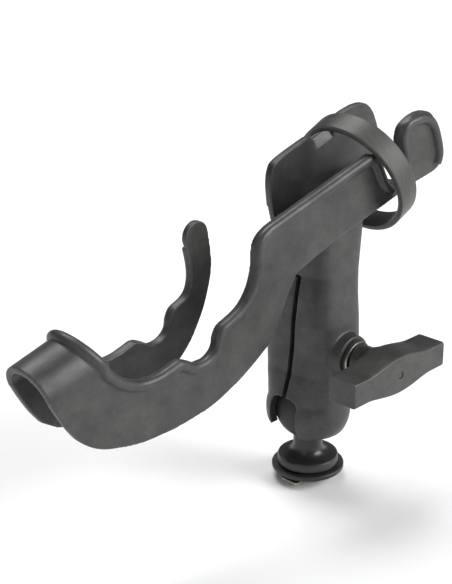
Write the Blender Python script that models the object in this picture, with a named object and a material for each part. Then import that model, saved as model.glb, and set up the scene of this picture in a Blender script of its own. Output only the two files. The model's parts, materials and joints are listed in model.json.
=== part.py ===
"""Open-cradle fishing rod holder on a ball-and-socket track base.

World frame: metres, +Z up, +X towards the rod tip, -Y towards the clamp knob, origin at the centre
of the base underside. The cradle has its own axes: u along the rod, w square to it and upwards,
y across, from a point in the trough's neck.
"""

import math

import bmesh
import bpy
from mathutils import Matrix, Vector

MM = 0.001
FIT_GAP = 0.3  # clearance kept between two pieces that touch
CUT_OVERRUN = 1.0  # how far a cutter runs past the face that it cuts

# Driving dimensions, millimetres and degrees
BALL_RADIUS = 19.05
BALL_HEIGHT = 40.5
COVER_THICKNESS = 1.5
NECK_RADIUS = 8.5
HUB_RADIUS = 17.7
HUB_THICKNESS = 6.0
FLANGE_RADIUS = 21.0
FLANGE_THICKNESS = 2.8
GASKET_RADIUS = 18.5
GASKET_THICKNESS = 1.2
GASKET_BORE_GAP = 1.5
INSERT_RADIUS = 6.9
INSERT_HEIGHT = 7.5
TRACK_BOLT_RADIUS = 3.9
TRACK_PLATE_LENGTH = 34.0
TRACK_PLATE_WIDTH = 12.5
TRACK_PLATE_THICKNESS = 2.0
TRACK_PLATE_CORNER = 1.6
TRACK_GAP = 2.2  # room for a track's 2 mm lips between the base and the plate

SOCKET_WALL = 5.3
SOCKET_DEPTH = 12.5  # how far the fixed half of the socket reaches below the ball's centre
JAW_DEPTH = 7.5
SOCKET_RELIEF = 9.5  # half width of the swing slot for the neck
SOCKET_RELIEF_TOP = 12.0
SLOT_WIDTH = 3.0
SLOT_TOP = 82.0  # above the ball's centre
JAW_TOP = 81.0

CLAMP_OFFSET = 4.0  # bolt axis in front of the ball's centre
CLAMP_RISE = 37.5  # bolt axis above the ball's centre
CLAMP_BOLT_RADIUS = 3.9
CLAMP_HEAD_RADIUS = 7.0
CLAMP_HEAD_HEIGHT = 5.0
CLAMP_HEAD_SEAT = 18.5
BOSS_RADIUS = 12.4
BOSS_FACE = 29.6
WASHER_RADIUS = 10.3
WASHER_THICKNESS = 1.6
WEAR_WASHER_THICKNESS = 1.2
SPRING_WIRE = 0.7
SPRING_RADIUS = 6.6
SPRING_TURNS = 5
SPRING_POCKET = 9.0
KNOB_STEM_RADIUS = 9.2
KNOB_STEM_LENGTH = 10.6
KNOB_THICKNESS = 18.8
KNOB_LENGTH = 77.0
KNOB_MIDDLE_HEIGHT = 21.5
KNOB_END_HEIGHT = 14.4
KNOB_BACK_SWEEP = 1.6  # the wings' ends lie this far in from the back and from the front
KNOB_FRONT_SWEEP = 1.2
KNOB_EDGE = 1.2
KNOB_STEM_EDGE = 0.6
KNOB_PLUG_SINK = 3.0
KNOB_INSERT_RADIUS = 5.6
KNOB_INSERT_LENGTH = 15.0
KNOB_PLUG_RADIUS = 1.9
KNOB_PLUG_LENGTH = 2.3
PLUG_CHAMFER = 0.2
SHANK_CHAMFER = 0.6
HUB_BEVELS = (0.5, 1.0)  # at the hub's foot and at its shoulder

PITCH = math.radians(15.0)
CRADLE_REACH = 31.0  # the cradle's origin, in front of the ball's centre and above it
CRADLE_RISE = 127.8
RING_SEAT = 2.3  # the latch ring's rear face along u, and its centre along w
RING_CENTRE = -0.7
RING_LEAN = math.radians(8.9)  # the ring leans back from square to the trough
RING_RADIUS = 35.6
RING_WALL = 3.4
RING_WIDTH = 14.0
RING_GAP = math.radians(60.0)
RING_GAP_ANGLE = math.radians(-35.0)  # from straight below, towards the far side

WALL = 3.8
MOUTH_END = -232.5
TAPER_START = -235.0
MOUTH_HALF_WIDTH = 16.0
TIP_END = 57.0
TIP_HALF_WIDTH = 23.0
ARCH_TOP = 23.6
MOUTH_SLANT = 0.06  # how far the mouth leans, along u for each unit of w
HOOD_PROUD = 0.15  # how far the hood stands outside the flat walls below it
TAB_PROUD = 0.1
LIP_TOP_U = -204.5
LIP_SIDE_U = -197.5
BEAD_RADIUS = 3.1
BEAD_DROP = 2.6  # bead centre below the rim
FAR_BEAD_RADIUS = 2.5
TAB_BEAD_RADIUS = 2.9
TAB_BEAD_OUT = 0.5  # the bead's centre, outside the tab's face
FLOOR_SPRING = -5.0  # where the trough's sides start to turn under
FLOOR_BOTTOM = -15.5
FLOOR_REAR = -43.0
FLOOR_FRONT = 27.0
TONGUE_FRONT = 40.0

ROUND = 32
BALL_STEPS = 10
POLE_ANGLE = 87.0  # a turned ball stops this far up, at a small flat


# Materials


def moulded(name, colour, roughness, metallic=0.0):
    """A Principled BSDF with one colour."""
    material = bpy.data.materials.new(name)
    material.use_nodes = True
    shader = material.node_tree.nodes["Principled BSDF"]
    shader.inputs["Base Color"].default_value = (*colour, 1.0)
    shader.inputs["Roughness"].default_value = roughness
    shader.inputs["Metallic"].default_value = metallic
    return material


# Frames of reference


def from_ball(x, y, z):
    """A point given from the ball's centre, in world metres."""
    return Vector((x, y, z + BALL_HEIGHT)) * MM


def from_cradle(u, y, w):
    """A point given along the cradle's axes, in world metres."""
    x = CRADLE_REACH + u * math.cos(PITCH) - w * math.sin(PITCH)
    z = CRADLE_RISE + u * math.sin(PITCH) + w * math.cos(PITCH)
    return from_ball(x, y, z)


def half_width(u):
    """Half the cradle's outside width, which grows evenly from the mouth to the tip."""
    share = (u - TAPER_START) / (TIP_END - TAPER_START)
    return MOUTH_HALF_WIDTH + share * (TIP_HALF_WIDTH - MOUTH_HALF_WIDTH)


# Mesh helpers


def add_object(name, points, faces, material=None):
    mesh = bpy.data.meshes.new(name)
    mesh.from_pydata([tuple(p) for p in points], [], faces)
    shape = bmesh.new()
    shape.from_mesh(mesh)
    bmesh.ops.recalc_face_normals(shape, faces=shape.faces)
    shape.to_mesh(mesh)
    shape.free()
    made = bpy.data.objects.new(name, mesh)
    bpy.context.scene.collection.objects.link(made)
    if material:
        mesh.materials.append(material)
        mesh.shade_smooth()
        mesh.set_sharp_from_angle(angle=math.radians(35))
    return made


def helper(made):
    """Marks a cutter or a piece of a union as no part of the model."""
    made.hide_render = True
    made.display_type = "WIRE"
    return made


def combine(target, other, operation, crosses_itself=False):
    step = target.modifiers.new(other.name, "BOOLEAN")
    step.operation = operation
    step.solver = "EXACT"
    step.use_self = crosses_itself
    step.object = helper(other)


def cut(target, other):
    combine(target, other, "DIFFERENCE")


def unite(target, other, crosses_itself=False):
    combine(target, other, "UNION", crosses_itself)


def keep_common(target, other):
    combine(target, other, "INTERSECT")


def smooth_line(knots, steps):
    """A Catmull-Rom curve through the knots, with this many steps between each two."""
    ends = [knots[0], *knots, knots[-1]]
    line = []
    for i in range(1, len(ends) - 2):
        before, start, end, after = (Vector(k) for k in ends[i - 1 : i + 3])
        for k in range(steps):
            t = k / steps
            line.append(
                0.5
                * (
                    2 * start
                    + (end - before) * t
                    + (2 * before - 5 * start + 4 * end - after) * t**2
                    + (3 * start - before - 3 * end + after) * t**3
                )
            )
    return [*line, Vector(knots[-1])]


def prism(name, low, high, material=None):
    """Joins two outlines with the same number of points into one closed solid."""
    count = len(low)
    sides = [(i, (i + 1) % count, (i + 1) % count + count, i + count) for i in range(count)]
    ends = [tuple(reversed(range(count))), tuple(range(count, 2 * count))]
    return add_object(name, [*low, *high], sides + ends, material)


def stack(name, rings, material=None, closed=False):
    """Skins a list of rings; closed joins the last ring to the first instead of capping."""
    count = len(rings[0])
    points = [p for ring in rings for p in ring]
    faces = []
    spans = len(rings) if closed else len(rings) - 1
    for r in range(spans):
        here = r * count
        there = (r + 1) % len(rings) * count
        for i in range(count):
            j = (i + 1) % count
            faces.append((here + i, here + j, there + j, there + i))
    if not closed:
        faces.append(tuple(reversed(range(count))))
        faces.append(tuple(range((len(rings) - 1) * count, len(rings) * count)))
    return add_object(name, points, faces, material)


def turned(name, profile, place, material=None, steps=ROUND):
    """Turns a closed outline of (radius, height) about an axis; place maps (a, b, height) to world."""
    rings = []
    for k in range(steps):
        angle = 2 * math.pi * k / steps
        rings.append([place(r * math.cos(angle), r * math.sin(angle), h) for r, h in profile])
    return stack(name, rings, material, closed=True)


def solid_turned(name, profile, place, material=None, steps=ROUND):
    """Turns a line of (radius, height) from one flat end to the other into a solid with no bore."""
    rings = []
    for r, h in profile:
        angles = [2 * math.pi * k / steps for k in range(steps)]
        rings.append([place(r * math.cos(a), r * math.sin(a), h) for a in angles])
    return stack(name, rings, material)


def tube(name, path, radius, sides=6, material=None):
    """Sweeps a round section along world points."""
    rings = []
    previous = None
    for i, here in enumerate(path):
        ahead = path[min(i + 1, len(path) - 1)]
        behind = path[max(i - 1, 0)]
        along = (ahead - behind).normalized()
        if previous is None:
            previous = Vector((0, 1, 0)) if abs(along.y) < 0.9 else Vector((0, 0, 1))
        side = (previous - along * previous.dot(along)).normalized()
        rise = along.cross(side)
        previous = side
        ring = []
        for k in range(sides):
            angle = 2 * math.pi * k / sides
            ring.append(here + (side * math.cos(angle) + rise * math.sin(angle)) * radius * MM)
        rings.append(ring)
    return stack(name, rings, material)


def box(name, low, high, place=from_ball, material=None):
    (x0, y0, z0), (x1, y1, z1) = low, high
    bottom = [place(x0, y0, z0), place(x1, y0, z0), place(x1, y1, z0), place(x0, y1, z0)]
    top = [place(x0, y0, z1), place(x1, y0, z1), place(x1, y1, z1), place(x0, y1, z1)]
    return prism(name, bottom, top, material)


# Places for turned pieces


def about_clamp(a, b, h):
    """The clamp bolt's axis: h runs from the mid plane towards the knob."""
    return from_ball(CLAMP_OFFSET + a, -h, CLAMP_RISE + b)


def about_post(a, b, h):
    """The base's vertical axis: h is the height above the seat."""
    return Vector((a, b, h)) * MM


def about_ring(a, b, h):
    """The latch ring's axis: h runs forwards from the ring's rear face, b upwards."""
    u = RING_SEAT + h * math.cos(RING_LEAN) - b * math.sin(RING_LEAN)
    return from_cradle(u, a, RING_CENTRE + h * math.sin(RING_LEAN) + b * math.cos(RING_LEAN))


# Cradle outlines, in (u, w)

MOUTH_EDGE = [(-231.2, 6.5), (-229.8, 0.0), (-227.0, -10.0), (-223.0, -20.0), (-215.5, -29.5)]
BELLY = [(-205.0, -36.8), (-187.0, -45.0), (-165.0, -50.3), (-143.0, -52.5), (-122.0, -49.8), (-99.0, -43.0)]
THROAT = [(-88.0, -34.0), (-79.0, -24.0), (-70.0, -15.2)]
HOOD_LAP = [(-199.0, 9.0), (-229.0, 9.0)]  # the walls' top edge, inside the foot of the hood
LIP_SIDE = [(-196.8, 6.0), (-194.4, 1.5), (-189.5, -5.0), (-181.5, -11.2), (-172.0, -14.4)]
FIRST_BUMP = [(-163.0, -15.0), (-157.0, -15.2), (-152.5, -18.5), (-147.5, -23.2), (-140.5, -24.6)]
SECOND_BUMP = [(-134.5, -22.3), (-131.5, -17.0), (-127.0, -13.3), (-119.0, -12.3), (-111.0, -10.2)]
RISE_TO_TROUGH = [(-103.5, -4.8), (-98.0, 3.0), (-95.2, 11.0), (-91.8, 17.4), (-84.5, 20.4)]
NEAR_TOP = [(-74.0, 20.9), (-40.0, 21.3), (-6.0, 21.6)]
NEAR_CORNER = [(0.5, 20.3), (5.0, 14.5), (6.8, 7.0), (8.6, 1.0), (13.0, -4.6)]
FAR_BEND = [(-114.0, -9.5), (-110.5, -3.0), (-109.2, 5.0), (-109.0, 12.0)]
CHAMFER_ENDS = (-1.4, 14.2)
CHAMFER_FOOT = 14.4
CHAMFER_HEAD = 25.2
FINGER_TIP_U = -100.8
FINGER_TIP_W = 16.0
FINGER_TIP_RADIUS = 8.2
FINGER_BACK = [(-94.0, 3.4), (-97.0, -7.3), (-103.0, -17.5), (-110.0, -26.5)]
FINGER_BACK += [(-121.0, -36.0), (-136.0, -43.5)]
FINGER_BELLY = [(-158.0, -46.5), (-182.0, -43.0), (-203.0, -35.5), (-215.5, -28.5)]
FAR_REAR_EDGE = [(-44.0, -10.0), (-44.0, 2.0), (-42.0, 14.0), (-38.5, 22.0), (-32.0, 25.8)]
FAR_FRONT_EDGE = [(-8.5, 26.4), (-4.8, 25.6), (-3.0, 23.0)]
FAR_NOTCH = [(-1.2, 22.6), (13.2, 22.6)]
FAR_TAB = [
    (15.0, 22.6),
    (18.0, 25.4),
    (24.0, 27.0),
    (36.5, 26.4),
    (45.5, 23.0),
    (50.8, 16.0),
    (53.2, 5.0),
    (53.2, -6.0),
    (50.0, -12.0),
    (42.0, -14.6),
]
NEAR_TAB = [
    (21.5, -2.0),
    (21.5, 16.0),
    (24.5, 24.0),
    (31.0, 27.0),
    (41.0, 26.8),
    (50.0, 23.0),
    (54.5, 16.0),
    (57.0, 4.0),
    (57.0, -6.0),
    (53.5, -12.0),
    (46.0, -13.6),
    (30.0, -12.0),
    (24.0, -9.0),
]
NEAR_TAB_EDGE = [(25.0, 1.0), (25.0, 16.0), (29.5, 23.4), (39.0, 23.2)]
NEAR_TAB_EDGE += [(47.0, 20.0), (51.5, 14.0), (53.4, 4.0)]
FAR_TAB_EDGE = [(18.8, 1.0), (18.8, 16.0), (24.0, 22.8), (35.0, 22.4)]
FAR_TAB_EDGE += [(43.0, 19.4), (47.4, 13.0), (49.6, 3.0)]


def near_rim():
    knots = LIP_SIDE + FIRST_BUMP + SECOND_BUMP + RISE_TO_TROUGH + NEAR_TOP + NEAR_CORNER
    return smooth_line(knots, 2)


def far_rim():
    return smooth_line(LIP_SIDE + FIRST_BUMP + SECOND_BUMP[:-1] + FAR_BEND, 2)


def wall_plate(name, outline, side, outset=0.0, thickness=WALL):
    """An upright wall of the cradle, following its taper; side is -1 near the knob, +1 far from it."""
    outer = [from_cradle(u, side * (half_width(u) + outset), w) for u, w in outline]
    inner = [from_cradle(u, side * (half_width(u) + outset - thickness), w) for u, w in outline]
    return prism(name, outer, inner)


def near_wall_outline():
    under = smooth_line(MOUTH_EDGE + BELLY + THROAT, 2)
    tongue = [(TONGUE_FRONT, -12.5), (TONGUE_FRONT, -7.0)]
    return [*under, (-40.0, -12.5), *tongue, *reversed(near_rim()), *HOOD_LAP]


def finger_outline():
    start = math.radians(200)
    sweep = math.radians(-215)
    tip = []
    for k in range(9):
        angle = start + sweep * k / 8
        tip.append(
            (
                FINGER_TIP_U + FINGER_TIP_RADIUS * math.cos(angle),
                FINGER_TIP_W + FINGER_TIP_RADIUS * math.sin(angle),
            )
        )
    under = smooth_line(FINGER_BACK + FINGER_BELLY, 2)
    mouth = smooth_line(list(reversed(MOUTH_EDGE[:-1])), 2)
    return [*far_rim(), *tip, *under, *mouth, *reversed(HOOD_LAP)]


def far_wall_outline():
    """The far wall and its tab, with a notch between them that the latch ring turns in."""
    wall = smooth_line(FAR_REAR_EDGE + FAR_FRONT_EDGE, 2)
    tab = smooth_line(FAR_TAB, 2)
    return [*wall, *FAR_NOTCH, *tab, (30.0, -13.0), (FAR_REAR_EDGE[0][0], -12.5)]


def arch():
    """The hood over the butt end: half a tube with a slanted mouth and a swept-back front edge."""
    steps = 14
    rings = []
    for k in range(steps + 1):
        angle = math.pi * k / steps
        height = math.sin(angle)
        spread = -math.cos(angle)
        ends = (
            MOUTH_END + MOUTH_SLANT * (1 - height) * MOUTH_HALF_WIDTH,
            LIP_TOP_U + (LIP_SIDE_U - LIP_TOP_U) * (1 - height),
        )
        ring = []
        for u in (ends[0], ends[1]):
            radius = half_width(u) + HOOD_PROUD
            centre = ARCH_TOP - radius
            ring.append(from_cradle(u, spread * radius, centre + height * radius))
        for u in (ends[1], ends[0]):
            radius = half_width(u) + HOOD_PROUD
            centre = ARCH_TOP - radius
            inner = radius - WALL
            ring.append(from_cradle(u, spread * inner, centre + height * inner))
        rings.append(ring)
    return stack("arch", rings)


def trough_floor():
    """The rounded floor between the trough's walls."""
    steps = 14
    rear = []
    front = []
    for u, ring in ((FLOOR_REAR, rear), (FLOOR_FRONT, front)):
        radius = half_width(u)
        depth = FLOOR_SPRING - FLOOR_BOTTOM
        for k in range(steps + 1):
            angle = math.pi * k / steps
            ring.append(
                from_cradle(u, -math.cos(angle) * (radius - 0.15), FLOOR_SPRING - depth * math.sin(angle))
            )
        for k in range(steps + 1):
            angle = math.pi * (steps - k) / steps
            inner = radius - WALL - 0.15
            ring.append(
                from_cradle(u, -math.cos(angle) * inner, FLOOR_SPRING - (depth - WALL) * math.sin(angle))
            )
    return prism("trough_floor", rear, front)


def far_chamfer():
    """The slope cut along the inside of the far wall's top where the latch ring passes."""
    ends = []
    for u in CHAMFER_ENDS:
        inner = half_width(u) - WALL - CUT_OVERRUN
        outer = half_width(u) + CUT_OVERRUN
        corners = [(inner, CHAMFER_FOOT), (outer, CHAMFER_HEAD), (inner, CHAMFER_HEAD)]
        ends.append([from_cradle(u, y, w) for y, w in corners])
    return prism("far_chamfer", *ends)


def bead_line(outline, side, drop=BEAD_DROP):
    """World points of a rolled rim, set in from an edge of a wall that lies to the left of it."""
    outline = [Vector(point) for point in outline]
    path = []
    for i, here in enumerate(outline):
        along = (outline[min(i + 1, len(outline) - 1)] - outline[max(i - 1, 0)]).normalized()
        u = here.x + along.y * drop
        w = here.y - along.x * drop
        path.append(from_cradle(u, side * (half_width(u) - 0.4), w))
    return path


def rim_bead():
    """The rolled rim: up the near wall from the ring, over the hood's lip and along the finger."""
    near = list(reversed(bead_line(near_rim(), -1)))
    over = []
    steps = 12
    for k in range(1, steps):
        angle = math.pi * k / steps
        height = math.sin(angle)
        u = LIP_SIDE_U + (LIP_TOP_U - LIP_SIDE_U) * height - 1.0
        radius = half_width(u) - 0.4
        centre = ARCH_TOP - half_width(u)
        over.append(from_cradle(u, -math.cos(angle) * radius, centre + height * (radius + 0.6)))
    far = bead_line(far_rim(), 1)
    return tube("rim_bead", near + over + far, BEAD_RADIUS)


def tab_bead(name, edge, side):
    """The raised edge on a tab's outer face."""
    path = [from_cradle(u, side * (half_width(u) + TAB_BEAD_OUT), w) for u, w in smooth_line(edge, 2)]
    return tube(name, path, TAB_BEAD_RADIUS)


def far_bead():
    outline = smooth_line(FAR_REAR_EDGE[1:] + FAR_FRONT_EDGE[:1], 2)
    return tube("far_bead", bead_line(outline, 1, FAR_BEAD_RADIUS), FAR_BEAD_RADIUS)


# Arm: sections from the ball upwards, as (height, rear x, front x, half width, squareness)

ARM_SECTIONS = [
    (8.0, -23.0, 23.0, 23.0, 2.0),
    (16.0, -20.2, 21.2, 23.4, 2.4),
    (26.0, -16.8, 21.6, 24.2, 3.2),
    (40.0, -14.6, 21.8, 24.4, 4.2),
    (56.0, -13.6, 21.8, 23.4, 4.6),
    (70.0, -11.5, 22.6, 21.4, 4.6),
    (83.0, -8.5, 24.4, 19.6, 4.6),
]


def section(rear, front, half, squareness, height):
    ring = []
    middle = (rear + front) / 2
    reach = (front - rear) / 2
    for k in range(ROUND):
        angle = 2 * math.pi * k / ROUND
        c, s = math.cos(angle), math.sin(angle)
        x = middle + reach * math.copysign(abs(c) ** (2 / squareness), c)
        y = half * math.copysign(abs(s) ** (2 / squareness), s)
        ring.append((x, y, height))
    return ring


def arm_solid(name):
    rings = [
        [from_ball(*p) for p in section(rear, front, half, squareness, height)]
        for height, rear, front, half, squareness in ARM_SECTIONS
    ]
    top = []
    for x, y, _ in section(-9.0, 29.5, 18.4, 4.6, 0.0):
        height = CRADLE_RISE + (FLOOR_BOTTOM + 2.0 + (x - CRADLE_REACH) * math.sin(PITCH)) / math.cos(PITCH)
        top.append(from_ball(x, y, height))
    rings.append(top)
    made = stack(name, rings)
    outer = BALL_RADIUS + SOCKET_WALL
    profile = []
    for k in range(BALL_STEPS + 1):
        angle = math.radians(-86 + 172 * k / BALL_STEPS)
        profile.append((outer * math.cos(angle), outer * math.sin(angle)))
    globe = solid_turned(f"{name}_globe", profile, from_ball)
    unite(made, globe)
    return made


def socket_cutters(target, name, depth):
    """Takes the ball's hollow, the swing slot and the open underside from a half of the socket."""
    reach = BALL_RADIUS + SOCKET_WALL + CUT_OVERRUN
    cut(target, box(f"{name}_underside", (-reach, -reach, -reach - 1), (reach, reach, -depth)))
    swing = [(-SOCKET_RELIEF, -reach), (-SOCKET_RELIEF, SOCKET_RELIEF_TOP - 5)]
    swing += [(-SOCKET_RELIEF + 1.5, SOCKET_RELIEF_TOP - 1.5), (-SOCKET_RELIEF + 5, SOCKET_RELIEF_TOP)]
    swing += [(-y, z) for y, z in reversed(swing)]
    low = [from_ball(-reach - 4, y, z) for y, z in swing]
    high = [from_ball(reach + 4, y, z) for y, z in swing]
    cut(target, prism(f"{name}_swing", low, high))
    hollow = BALL_RADIUS + FIT_GAP
    profile = []
    for k in range(BALL_STEPS + 1):
        angle = math.radians(-88 + 176 * k / BALL_STEPS)
        profile.append((hollow * math.cos(angle), hollow * math.sin(angle)))
    cut(target, solid_turned(f"{name}_hollow", profile, from_ball))


def clamp_bore(target, name, radius, start, end):
    cut(target, solid_turned(f"{name}_bore", [(radius, start), (radius, end)], about_clamp))


def make_cradle(material):
    """One moulding: near wall, hood, finger, trough, tabs and the fixed half of the socket arm."""
    made = wall_plate("cradle", near_wall_outline(), -1)
    made.data.materials.append(material)
    unite(made, wall_plate("finger", finger_outline(), 1))
    unite(made, arch())
    unite(made, wall_plate("far_wall", far_wall_outline(), 1))
    unite(made, trough_floor())
    unite(made, wall_plate("near_tab", smooth_line(NEAR_TAB, 2), -1, TAB_PROUD))
    unite(made, tab_bead("near_tab_bead", NEAR_TAB_EDGE, -1), crosses_itself=True)
    unite(made, tab_bead("far_tab_bead", FAR_TAB_EDGE, 1), crosses_itself=True)
    cut(made, far_chamfer())
    unite(made, rim_bead(), crosses_itself=True)
    unite(made, far_bead(), crosses_itself=True)
    arm = arm_solid("fixed_arm")
    reach = 60
    cut(arm, box("slot_cut", (-reach, -SLOT_WIDTH / 2, -reach), (reach, reach, SLOT_TOP)))
    boss = [(BOSS_RADIUS + 0.8, 12.0), (BOSS_RADIUS + 0.8, 25.0), (BOSS_RADIUS, BOSS_FACE)]
    unite(arm, solid_turned("boss", boss, about_clamp))
    socket_cutters(arm, "fixed", SOCKET_DEPTH)
    clamp_bore(arm, "fixed", CLAMP_BOLT_RADIUS + FIT_GAP, -5, BOSS_FACE + CUT_OVERRUN)
    clamp_bore(arm, "fixed_pocket", SPRING_RADIUS + SPRING_WIRE + 0.5, -5, SPRING_POCKET)
    unite(made, arm)
    return made


def make_jaw(material):
    """The loose half of the socket arm."""
    made = arm_solid("clamp_jaw")
    made.data.materials.append(material)
    reach = 60
    keep_common(made, box("jaw_half", (-reach, SLOT_WIDTH / 2, -reach), (reach, reach, JAW_TOP)))
    socket_cutters(made, "jaw", JAW_DEPTH)
    clamp_bore(made, "jaw", CLAMP_BOLT_RADIUS + FIT_GAP, 5, -40)
    clamp_bore(made, "jaw_pocket", SPRING_RADIUS + SPRING_WIRE + 0.5, 5, -SPRING_POCKET)
    head = solid_turned(
        "jaw_head",
        [(CLAMP_HEAD_RADIUS + FIT_GAP, -CLAMP_HEAD_SEAT), (CLAMP_HEAD_RADIUS + FIT_GAP, -40)],
        about_clamp,
        steps=6,
    )
    cut(made, head)
    return made


def make_ring(material):
    """The split latch ring round the trough's neck."""
    inner = RING_RADIUS - RING_WALL
    profile = [
        (inner, 0.6),
        (inner + 0.6, 0.0),
        (RING_RADIUS - 0.8, 0.0),
        (RING_RADIUS, 0.8),
        (RING_RADIUS, RING_WIDTH - 0.8),
        (RING_RADIUS - 0.8, RING_WIDTH),
        (inner + 0.6, RING_WIDTH),
        (inner, RING_WIDTH - 0.6),
    ]
    rings = []
    steps = 44
    start = RING_GAP_ANGLE + RING_GAP / 2
    sweep = 2 * math.pi - RING_GAP
    for k in range(steps + 1):
        angle = start + sweep * k / steps
        rings.append([about_ring(-r * math.sin(angle), -r * math.cos(angle), h) for r, h in profile])
    made = stack("latch_ring", rings, material)
    return made


def make_bolt(material):
    """Hex-headed clamp bolt: its head sits in the loose jaw, its end in the knob."""
    head = solid_turned(
        "clamp_bolt",
        [
            (CLAMP_HEAD_RADIUS, -CLAMP_HEAD_SEAT - FIT_GAP - CLAMP_HEAD_HEIGHT),
            (CLAMP_HEAD_RADIUS, -CLAMP_HEAD_SEAT - FIT_GAP),
        ],
        about_clamp,
        material,
        steps=6,
    )
    knob_start = stem_start()
    end = knob_start + KNOB_INSERT_LENGTH
    shank_line = [(CLAMP_BOLT_RADIUS, -CLAMP_HEAD_SEAT - CLAMP_HEAD_HEIGHT / 2)]
    shank_line += [(CLAMP_BOLT_RADIUS, end - SHANK_CHAMFER), (CLAMP_BOLT_RADIUS - SHANK_CHAMFER, end)]
    shank = solid_turned("clamp_shank", shank_line, about_clamp)
    unite(head, shank)
    return head


def make_spring(material):
    """Compression spring that opens the jaw when the knob is slackened."""
    length = 2 * SPRING_POCKET - 2 * SPRING_WIRE - 2 * FIT_GAP - 0.4
    steps = 10
    path = []
    for k in range(SPRING_TURNS * steps + 1):
        angle = 2 * math.pi * k / steps
        along = -length / 2 + length * k / (SPRING_TURNS * steps)
        path.append(about_clamp(SPRING_RADIUS * math.cos(angle), SPRING_RADIUS * math.sin(angle), along))
    return tube("clamp_spring", path, SPRING_WIRE, 5, material)


def ring_solid(name, inner, outer, start, end, place, material):
    bevel = min(0.25, (end - start) / 4)
    profile = [
        (inner, start),
        (outer - bevel, start),
        (outer, start + bevel),
        (outer, end - bevel),
        (outer - bevel, end),
        (inner, end),
    ]
    return turned(name, profile, place, material)


def washer_start():
    return BOSS_FACE + FIT_GAP + WEAR_WASHER_THICKNESS + FIT_GAP


def stem_start():
    return washer_start() + WASHER_THICKNESS + FIT_GAP


def make_knob(material):
    """Tee lever: a bow-tie bar on a round stem."""
    start = stem_start()
    bar_start = start + KNOB_STEM_LENGTH
    bar_end = bar_start + KNOB_THICKNESS
    half = KNOB_LENGTH / 2
    rings = []
    stations = 9
    for k in range(stations):
        share = 2 * k / (stations - 1) - 1
        x = half * share
        swell = 1 - abs(share) ** 1.25
        tall = KNOB_END_HEIGHT / 2 + (KNOB_MIDDLE_HEIGHT - KNOB_END_HEIGHT) / 2 * swell
        back = bar_start + KNOB_BACK_SWEEP * abs(share)
        front = bar_end - KNOB_FRONT_SWEEP * abs(share)
        edge = KNOB_EDGE
        outline = [
            (-tall + edge, back),
            (tall - edge, back),
            (tall, back + edge),
            (tall, front - edge),
            (tall - edge, front),
            (-tall + edge, front),
            (-tall, front - edge),
            (-tall, back + edge),
        ]
        rings.append([about_clamp(x, b, h) for b, h in outline])
    made = stack("clamp_knob", rings, material)
    stem = [
        (KNOB_STEM_RADIUS - KNOB_STEM_EDGE, start),
        (KNOB_STEM_RADIUS, start + KNOB_STEM_EDGE),
        (KNOB_STEM_RADIUS - 0.7, bar_start - 4),
        (KNOB_STEM_RADIUS, bar_start + 3),
    ]
    unite(made, solid_turned("knob_stem", stem, about_clamp))
    bore = KNOB_INSERT_RADIUS + FIT_GAP
    depth = start + KNOB_INSERT_LENGTH + 2 * FIT_GAP
    clamp_bore(made, "knob", bore, start - CUT_OVERRUN, depth + 1.0)
    plug = KNOB_PLUG_RADIUS + FIT_GAP
    clamp_bore(made, "plug", plug, bar_end - KNOB_PLUG_SINK, bar_end + CUT_OVERRUN)
    return made


def make_knob_pieces(brass, plastic):
    start = stem_start()
    insert = ring_solid(
        "knob_insert",
        CLAMP_BOLT_RADIUS + FIT_GAP,
        KNOB_INSERT_RADIUS,
        start + FIT_GAP,
        start + FIT_GAP + KNOB_INSERT_LENGTH,
        about_clamp,
        brass,
    )
    face = start + KNOB_STEM_LENGTH + KNOB_THICKNESS
    top = face - FIT_GAP
    plug_line = [(KNOB_PLUG_RADIUS, top - KNOB_PLUG_LENGTH), (KNOB_PLUG_RADIUS, top - PLUG_CHAMFER)]
    plug_line.append((KNOB_PLUG_RADIUS - PLUG_CHAMFER, top))
    plug = solid_turned("knob_plug", plug_line, about_clamp, plastic, steps=20)
    return insert, plug


def hub_top():
    return GASKET_THICKNESS + FLANGE_THICKNESS + 2 * FIT_GAP + HUB_THICKNESS


def make_ball(cover_material, core_material):
    """The ball's moulded core with its neck and hub, and the rubber cover over the ball."""
    core_radius = BALL_RADIUS - COVER_THICKNESS - FIT_GAP
    top = hub_top()
    base = top - HUB_THICKNESS
    foot, shoulder = HUB_BEVELS
    profile = [(HUB_RADIUS - foot, base), (HUB_RADIUS, base + foot)]
    profile += [(HUB_RADIUS, top - shoulder), (HUB_RADIUS - shoulder, top)]
    profile += [(NECK_RADIUS + 3.0, top), (NECK_RADIUS + 0.8, top + 0.9), (NECK_RADIUS, top + 2.8)]
    profile += ball_arc(core_radius, NECK_RADIUS)
    core = solid_turned("ball_core", profile, about_post, core_material)
    bore_radius = INSERT_RADIUS + FIT_GAP
    bore = [(bore_radius, -CUT_OVERRUN), (bore_radius, base + INSERT_HEIGHT - FLANGE_THICKNESS)]
    cut(core, solid_turned("core_bore", bore, about_post))

    opening = NECK_RADIUS + FIT_GAP
    cover = solid_turned("ball_cover", ball_arc(BALL_RADIUS, opening), about_post, cover_material)
    inside = [(opening, BALL_HEIGHT - BALL_RADIUS - CUT_OVERRUN)]
    inside += ball_arc(BALL_RADIUS - COVER_THICKNESS, opening)
    cut(cover, solid_turned("cover_hollow", inside, about_post))
    return core, cover


def ball_arc(radius, opening):
    """(radius, height) up a ball's side, from where it is this wide to its pole."""
    low = -math.acos(opening / radius)
    high = math.radians(POLE_ANGLE)
    angles = [low + (high - low) * k / BALL_STEPS for k in range(BALL_STEPS + 1)]
    return [(radius * math.cos(a), BALL_HEIGHT + radius * math.sin(a)) for a in angles]


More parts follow.
